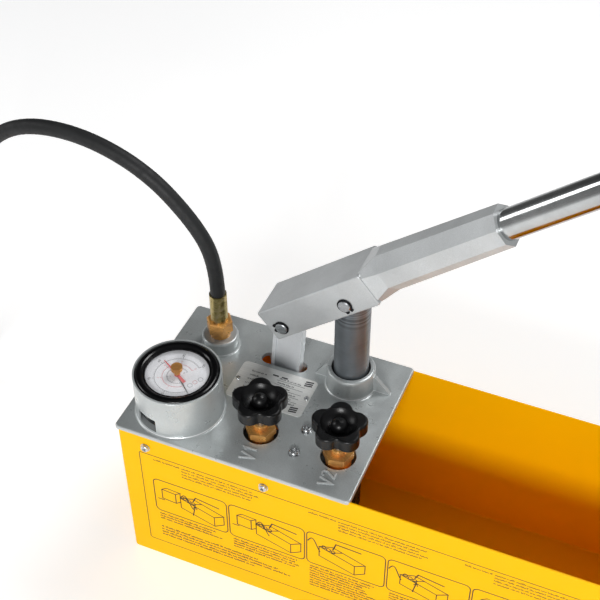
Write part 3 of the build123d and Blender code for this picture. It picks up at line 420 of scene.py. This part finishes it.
route = [
    (hose_x, pump_line, ferrule_top),
    (hose_x, pump_line, plate_top + 105 * MM),
    on_pump_line(24, 145),
    on_pump_line(-19, 188),
    on_pump_line(-80, 209.5),
    on_pump_line(-143, 204),
    on_pump_line(-187, 170),
    on_pump_line(-213, 118),
    on_pump_line(-222, 44),
    on_pump_line(-232, -36),
    on_pump_line(-244, -104),
    on_pump_line(-268, -150),
    (plate_left - 309 * MM, pump_line, floor_line),
]

# the unseen length lies in a flat coil that winds inwards, counterclockwise from above,
# and climbs on to its own outer turn at the end
outer_radius = 89 * MM
inner_radius = 74 * MM
inward_pitch = 14.8 * MM
coil_turns = 1.19
coil_points = 19
tail_low = 3 * hose_radius + 0.5 * MM
tail_high = 2 * hose_radius + nut_flats / 2 + 0.3 * MM
climb_start = 0.84
for i in range(coil_points):
    share = i / (coil_points - 1)
    wound = coil_turns * share
    turn = 0.5 * pi + 2 * pi * wound
    radius = max(inner_radius, outer_radius - inward_pitch * wound)
    lift = max(0.0, (share - climb_start) / (1 - climb_start))
    height = floor_line + lift * (tail_low - floor_line)
    route.append((coil_centre.x + radius * cos(turn), coil_centre.y + radius * sin(turn), height))


def on_coil(x, y, z):
    """A point of the hose's last stretch, from the coil's centre, in millimetres, at a height."""
    return (coil_centre.x + x * MM, coil_centre.y + y * MM, z)


route += [
    on_coil(-72.0, 4.0, tail_low),
    on_coil(-70.5, -14.0, tail_low + 0.2 * MM),
    on_coil(-64.3, -32.4, tail_low + 1.0 * MM),
    on_coil(-49.6, -52.6, tail_low + 2.4 * MM),
    on_coil(-29.4, -67.3, tail_low + 4.2 * MM),
    on_coil(-5.6, -75.0, tail_high),
    on_coil(18.4, -75.0, tail_high),
]


def smooth_line(name, points, radius):
    """A round tube along a smooth NURBS line with these control points."""
    curve = bpy.data.curves.new(name, "CURVE")
    curve.dimensions = "3D"
    spline = curve.splines.new("NURBS")
    spline.points.add(len(points) - 1)
    for control, place in zip(spline.points, points):
        control.co = (*place, 1.0)
    spline.order_u = 3
    spline.use_endpoint_u = True
    spline.resolution_u = 8
    curve.bevel_depth = radius
    curve.bevel_resolution = 8
    curve.use_fill_caps = True
    made = bpy.data.objects.new(name, curve)
    collection.objects.link(made)
    return made


pressure_hose = smooth_line("pressure_hose", route, hose_radius)
pressure_hose.data.materials.append(slots["hose_rubber"])
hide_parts("hose", "hose_coil", "hose_tail")
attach(pressure_hose, "tank_and_cover")


# ---------------------------------------------------------------- printed lines
class Print:
    """Flat ink shapes on a plane, gathered into one thin mesh."""

    def __init__(self, name, origin, right, up):
        self.name = name
        self.origin = Vector(origin)
        self.right = Vector(right)
        self.up = Vector(up)
        self.mesh = bmesh.new()

    def shape(self, outline):
        corners = []
        for x, y in outline:
            corners.append(self.mesh.verts.new(self.origin + self.right * x * MM + self.up * y * MM))
        self.mesh.faces.new(corners)

    def line(self, points, width, closed=False):
        """A ribbon along a run of points, mitred at its corners."""
        flat = [Vector(p) for p in points]
        count = len(flat)
        sides = []
        for i, here in enumerate(flat):
            before = flat[i - 1] if i > 0 or closed else None
            after = flat[(i + 1) % count] if i < count - 1 or closed else None
            run_in = (here - before).normalized() if before is not None else (after - here).normalized()
            run_out = (after - here).normalized() if after is not None else run_in
            bisector = (run_in + run_out).normalized()
            stretch = 1 / max(0.35, bisector.dot(run_in))
            normal = Vector((-bisector.y, bisector.x)) * width / 2 * stretch
            sides.append((here + normal, here - normal))
        pairs = list(zip(sides, sides[1:]))
        if closed:
            pairs.append((sides[-1], sides[0]))
        for (left, right), (next_left, next_right) in pairs:
            self.shape([left, right, next_right, next_left])

    def arc(self, radius, start, end, width, centre=(0, 0), steps_per_degree=0.4):
        count = max(3, int(abs(end - start) * steps_per_degree))
        angles = [radians(start + (end - start) * i / count) for i in range(count + 1)]
        self.line([(centre[0] + radius * cos(a), centre[1] + radius * sin(a)) for a in angles], width)

    def rounded_box(self, left, low, right, high, corner, width):
        outline = []
        for x, y, first in ((right - corner, high - corner, 0), (left + corner, high - corner, 90),
                            (left + corner, low + corner, 180), (right - corner, low + corner, 270)):
            for step in range(7):
                angle = radians(first + 15 * step)
                outline.append((x + corner * cos(angle), y + corner * sin(angle)))
        self.line(outline, width, closed=True)

    def writing(self, left, right, base, height, dice, weight=0.6):
        """A line of meaningless short strokes in word-like groups."""
        x = left
        while x < right:
            for _ in range(dice.randint(2, 9)):
                if x > right:
                    break
                tall = height * dice.choice((0.62, 0.62, 0.7, 1.0))
                self.shape([(x, base), (x + weight, base), (x + weight, base + tall), (x, base + tall)])
                if dice.random() < 0.7:
                    bar = base + tall * dice.choice((0.0, 0.45, 0.8))
                    reach = x + 2.1 * weight
                    top = bar + weight
                    self.shape([(x + weight, bar), (reach, bar), (reach, top), (x + weight, top)])
                x += height * 0.62
            x += height * 0.5

    def finish(self, material, body, depth=0.05 * MM):
        normal = self.right.cross(self.up).normalized()
        self.mesh.normal_update()
        for face in self.mesh.faces:
            if face.normal.dot(normal) < 0:
                face.normal_flip()
        made = bmesh.ops.extrude_face_region(self.mesh, geom=list(self.mesh.faces))
        raised = [g for g in made["geom"] if isinstance(g, bmesh.types.BMVert)]
        bmesh.ops.translate(self.mesh, verts=raised, vec=normal * depth)
        bmesh.ops.recalc_face_normals(self.mesh, faces=self.mesh.faces)
        mesh = bpy.data.meshes.new(self.name)
        self.mesh.to_mesh(mesh)
        self.mesh.free()
        mesh.materials.append(material)
        made = bpy.data.objects.new(self.name, mesh)
        collection.objects.link(made)
        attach(made, body)
        return made


# ---------------------------------------------------------------- instruction print on the tank's front
dice = random.Random(7)
label_origin = (plate_left, wall_front - 0.01 * MM, plate_top)
label = Print("tank_front_print", label_origin, (1, 0, 0), (0, 0, 1))
label.rounded_box(22, -157, 478, -28, 2.0, 0.75)
panel_width = 74.5
panel_pitch = 76.8
panel_low, panel_high = -107, -61
panel_left = [33 + panel_pitch * i for i in range(5)]
for left in panel_left:
    label.rounded_box(left, panel_low, left + panel_width, panel_high, 5.0, 1.0)


def bucket(left, low):
    """A vessel under test, drawn in outline."""
    front_top_left, front_top_right = (left, low + 13), (left + 14, low + 12)
    label.line([(left, low), (left + 14, low - 1), front_top_right, front_top_left], 1.0, closed=True)
    label.line([front_top_left, (left + 5, low + 17), (left + 19, low + 16), front_top_right], 0.9)
    label.line([(left + 19, low + 16), (left + 19, low + 3), (left + 14, low - 1)], 0.9)
    label.line([(left - 5, low - 2), (left + 2, low - 2)], 1.0)


def hose_sketch(x, y, reach):
    """The hose between two points, drawn as a wave."""
    count = 14
    points = []
    for i in range(count + 1):
        t = i / count
        points.append((x + reach * t, y + 7 * sin(pi * 1.4 * t) - 4 * t))
    label.line(points, 1.1)


def pump_sketch(left, high, lever_up, arrow):
    """A small pump: tank, cover with gauge and knobs, and a lever."""
    label.line([(left, high), (left, high - 14), (left + 34, high - 25), (left + 34, high - 12)], 0.9)
    rim = [(left, high), (left + 13, high + 5), (left + 44, high - 6), (left + 34, high - 12)]
    label.line(rim, 1.0, closed=True)
    label.line([(left + 34, high - 25), (left + 44, high - 18), (left + 44, high - 6)], 0.9)
    label.line([(left + 11, high - 4), (left + 22, high + 1.5)], 0.9)
    for x, y in ((4.5, 1.2), (9, -0.6), (13.5, -2.0)):
        label.arc(1.9, 0, 360, 0.9, centre=(left + x, high + y), steps_per_degree=0.05)
    lever_end = (left + 40, high + 4 + 2 * lever_up)
    label.line([(left + 13, high + 1), (left + 16, high + 8 + lever_up), lever_end], 1.3)
    if arrow:
        label.line([(left + 12, high - 20), (left + 15, high - 5)], 1.1)
        label.line([(left + 12.6, high - 9), (left + 15, high - 4.5), (left + 16.6, high - 9.6)], 0.8)


drawings = [(True, 0, True), (True, 1, False), (False, 3, False), (False, 0, True), (True, 2, True)]
for left, (with_vessel, lever_up, arrow) in zip(panel_left, drawings):
    middle_x = left + (27 if with_vessel else 12)
    if with_vessel:
        bucket(left + 8, panel_low + 20)
        hose_sketch(left + 27, panel_high - 17, 13)
    else:
        hose_sketch(left + 1, panel_high - 14, 12)
    pump_sketch(middle_x, panel_high - 17, lever_up, arrow)

line_pitch = 3.7
for left, lead in ((36, 26), (188, 26), (330, 24)):
    label.writing(left, left + lead, -34, 1.9, dice)
    for row in range(4):
        end = left + lead + 70 + dice.uniform(0, 16)
        label.writing(left + lead + 2, end, -34 - line_pitch * row - row * 0.3, 1.9, dice)
rows_below = [3, 4, 9, 5, 6]
for left, rows in zip(panel_left, rows_below):
    for row in range(rows):
        label.writing(left + 3, left + dice.uniform(52, 70), -112.5 - line_pitch * row, 2.1, dice, 0.8)
for row in range(4):
    label.writing(36, 36 + (100, 120, 134, 96)[row], -133 - 4.1 * row, 2.3, dice, 0.85)
for row in range(6):
    end = panel_left[3] + dice.uniform(90, 140)
    label.writing(panel_left[3] + 3, end, -135 - line_pitch * row * 0.95, 2.1, dice, 0.8)
for row in range(20):
    label.writing(421, 421 + dice.uniform(34, 50), -36 - 5.6 * row, 1.9, dice)
label.finish(ink_brown, "tank_and_cover")

# ---------------------------------------------------------------- print on the data plate
plate_low, plate_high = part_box("nameplate")
plate_middle = (plate_low + plate_high) / 2
data_origin = (plate_middle.x, plate_middle.y, plate_high.z)
data_print = Print("data_plate_print", data_origin, (1, 0, 0), (0, 1, 0))
for row in range(6):
    data_print.writing(-26, -12 + dice.uniform(-4, 2), 13.0 - 5.2 * row, 1.8, dice, 0.5)
    data_print.writing(2, 24 + dice.uniform(-8, 4), 13.0 - 5.2 * row, 1.8, dice, 0.5)
for row in range(5):
    data_print.line([(0, 11.5 - 5.2 * row), (28, 11.5 - 5.2 * row)], 0.35)
data_print.line([(-6, 16), (0, 16)], 1.6)
data_print.line([(3, 16), (9, 16)], 1.6)
bar_length = 7.5
bar_pitch = 2.4
for corner_x, corner_y, slant in ((-31.5, -19.0, 1), (24.5, -20.0, 1), (26.0, 14.5, 1)):
    for bar in range(3):
        base = corner_y + bar_pitch * bar
        data_print.line([(corner_x, base), (corner_x + bar_length, base + slant)], 1.5)
data_print.finish(ink_black, "tank_and_cover")

# ---------------------------------------------------------------- dial print
dial_low, dial_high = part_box("gauge_dial")
dial_centre = (dial_low + dial_high) / 2
dial_origin = (dial_centre.x, dial_centre.y, dial_high.z)
scale_start = -41.0
scale_sweep = 270.0


def scale_angle(share):
    """The dial's angle at a share of full scale, clockwise from its start."""
    return scale_start - scale_sweep * share


def scale(printed, radius, major, minor, tick, inward):
    """One arc with its long and short ticks."""
    printed.arc(radius, scale_angle(0), scale_angle(1), 0.28)
    divisions = major * minor
    for i in range(divisions + 1):
        angle = radians(scale_angle(i / divisions))
        long = i % minor == 0
        end = radius + (-1 if inward else 1) * (tick if long else tick * 0.55)
        width = 0.42 if long else 0.22
        start_point = (radius * cos(angle), radius * sin(angle))
        printed.line([start_point, (end * cos(angle), end * sin(angle))], width)


black_dial = Print("dial_print_black", dial_origin, (1, 0, 0), (0, 1, 0))
scale(black_dial, 20.6, 5, 10, 2.1, False)
scale(black_dial, 9.6, 5, 5, 1.4, True)
black_dial.arc(2.2, 0, 360, 0.3, centre=(15.5, -6.5), steps_per_degree=0.06)
black_dial.arc(2.2, 0, 360, 0.3, centre=(21.0, 3.5), steps_per_degree=0.06)
red_dial = Print("dial_print_red", dial_origin, (1, 0, 0), (0, 1, 0))
scale(red_dial, 13.6, 5, 10, 1.7, False)
red_dial.arc(2.0, 0, 360, 0.35, centre=(18.0, -1.4), steps_per_degree=0.06)


def dial_numbers(name, values, radius, size, material):
    """Upright numbers round the dial; their tops point away from the gap in the scale."""
    dial_up = scale_start - scale_sweep / 2
    made = []
    for i, value in enumerate(values):
        angle = radians(scale_angle(i / (len(values) - 1)))
        text = bpy.data.curves.new(f"{name}_{i}", "FONT")
        text.body = str(value)
        text.size = size * MM
        text.align_x = "CENTER"
        text.align_y = "CENTER"
        text.extrude = 0.02 * MM
        number = bpy.data.objects.new(f"{name}_{i}", text)
        offset = Vector((radius * cos(angle), radius * sin(angle), 0.03)) * MM
        number.location = Vector(dial_origin) + offset
        number.rotation_euler = (0, 0, radians(dial_up - 90))
        text.materials.append(material)
        collection.objects.link(number)
        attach(number, "tank_and_cover")
        made.append(number)
    return made


black_dial.finish(ink_black, "tank_and_cover")
red_dial.finish(ink_red, "tank_and_cover")
dial_numbers("scale_number", (0, 20, 40, 60, 80, 100), 25.2, 3.4, ink_black)
dial_numbers("red_number", (0, 3, 6, 9, 12, 15), 17.3, 2.3, ink_red)
dial_numbers("inner_number", (0, 2, 4, 6, 8, 10), 6.4, 2.0, ink_black)

# ---------------------------------------------------------------- studio
floor_mesh = bpy.data.meshes.new("floor")
floor_half = 9.0
floor_mesh.from_pydata(
    [(x * floor_half, y * floor_half, 0) for x, y in ((-1, -1), (1, -1), (1, 1), (-1, 1))],
    [],
    [(0, 1, 2, 3)],
)
floor = bpy.data.objects.new("floor", floor_mesh)
collection.objects.link(floor)
floor_paper = plain("floor_paper", (0.92, 0.92, 0.92, 1), 0.8, variation=0.005, grain=60)
floor_shader = floor_paper.node_tree.nodes["Principled BSDF"]
floor_shader.inputs["Emission Color"].default_value = (1, 1, 1, 1)
floor_shader.inputs["Emission Strength"].default_value = 0.36
floor_mesh.materials.append(floor_paper)

lighting_strength = 0.36
seen_wall_strength = 0.6
world = bpy.data.worlds.new("studio")
world.use_nodes = True
scene.world = world
sky = world.node_tree


def sky_node(kind, **settings):
    """A node of the world's shader."""
    made = sky.nodes.new(kind)
    for key, value in settings.items():
        setattr(made, key, value)
    return made


direction = sky_node("ShaderNodeTexCoord")
parts_of = sky_node("ShaderNodeSeparateXYZ")
sky.links.new(direction.outputs["Generated"], parts_of.inputs["Vector"])
gradient = sky_node("ShaderNodeValToRGB")
gradient.color_ramp.elements[0].position = 0.05
gradient.color_ramp.elements[0].color = (1.0, 1.0, 1.0, 1)
gradient.color_ramp.elements[1].position = 0.8
gradient.color_ramp.elements[1].color = (0.5, 0.51, 0.52, 1)
sky.links.new(parts_of.outputs["Z"], gradient.inputs["Fac"])
# the room is darker high up at the back left, away from the lights
towards = sky_node("ShaderNodeVectorMath", operation="DOT_PRODUCT")
towards.inputs[1].default_value = Vector((-0.5, 0.6, 0.62)).normalized()
sky.links.new(direction.outputs["Generated"], towards.inputs[0])
shade = sky_node("ShaderNodeMapRange", interpolation_type="SMOOTHSTEP")
for socket, value in (("From Min", 0.55), ("From Max", 0.97), ("To Min", 1.0), ("To Max", 0.2)):
    shade.inputs[socket].default_value = value
sky.links.new(towards.outputs["Value"], shade.inputs["Value"])
brightness = sky_node("ShaderNodeMath", operation="MULTIPLY")
brightness.inputs[1].default_value = lighting_strength
sky.links.new(shade.outputs["Result"], brightness.inputs[0])
# the wall itself is pale where it is looked at, and dim where it only lights the pump
seen = sky_node("ShaderNodeLightPath")
wall = sky_node("ShaderNodeMath", operation="MULTIPLY_ADD")
wall.inputs[1].default_value = seen_wall_strength
sky.links.new(seen.outputs["Is Camera Ray"], wall.inputs[0])
sky.links.new(brightness.outputs["Value"], wall.inputs[2])
sky.links.new(gradient.outputs["Color"], sky.nodes["Background"].inputs["Color"])
sky.links.new(wall.outputs["Value"], sky.nodes["Background"].inputs["Strength"])


def softbox(name, place, aim, width, height, power):
    """A rectangular area light."""
    data = bpy.data.lights.new(name, "AREA")
    data.shape = "RECTANGLE"
    data.size = width
    data.size_y = height
    data.energy = power
    made = bpy.data.objects.new(name, data)
    made.location = place
    made.rotation_euler = (Vector(aim) - Vector(place)).to_track_quat("-Z", "Y").to_euler()
    collection.objects.link(made)


softbox("key", (0.5, -2.3, 1.42), (0.0, 0.0, 0.15), 0.9, 0.5, 43)
softbox("side", (-2.2, -0.4, 1.5), (-0.1, 0.0, 0.2), 0.8, 0.8, 9)
softbox("back", (0.55, 1.0, 1.9), (0.0, 0.0, 0.15), 1.0, 0.7, 20)

scene.view_settings.view_transform = "Standard"
scene.view_settings.look = "None"
